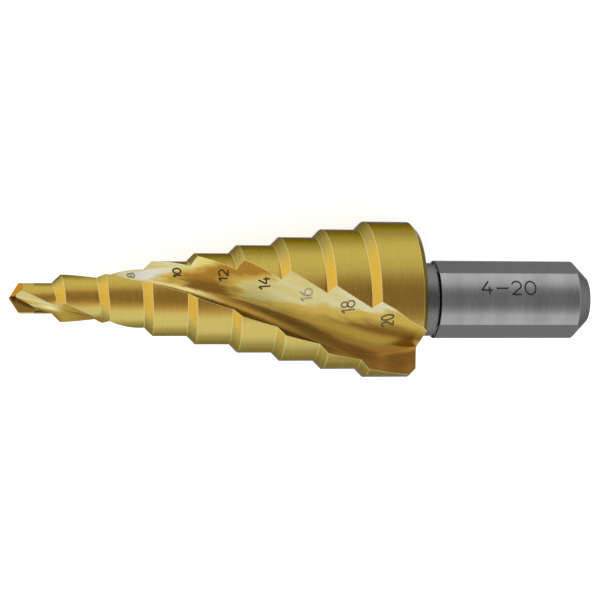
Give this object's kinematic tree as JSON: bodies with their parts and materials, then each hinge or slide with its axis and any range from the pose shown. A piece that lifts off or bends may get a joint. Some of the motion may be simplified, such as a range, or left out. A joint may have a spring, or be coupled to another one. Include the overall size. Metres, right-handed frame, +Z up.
{
  "type": "step drill",
  "caption": "Step drill: a stepped cone with two right-hand spiral flutes, a split lip point and a round shank with flats for a chuck.",
  "frame": {"origin": "middle of the drill's bounding box, on the surface that it lies on", "axes": "+X from the point to the shank, +Z up; the drill lies on the edges of its steps"},
  "size_m": [0.0744, 0.0198, 0.0191],
  "materials": {
    "tool_steel": "gold-coloured coating on the stepped body, ground bare steel on the neck and shank"
  },
  "bodies": {
    "root": {"step_drill": "tool_steel"}
  },
  "joints": []
}
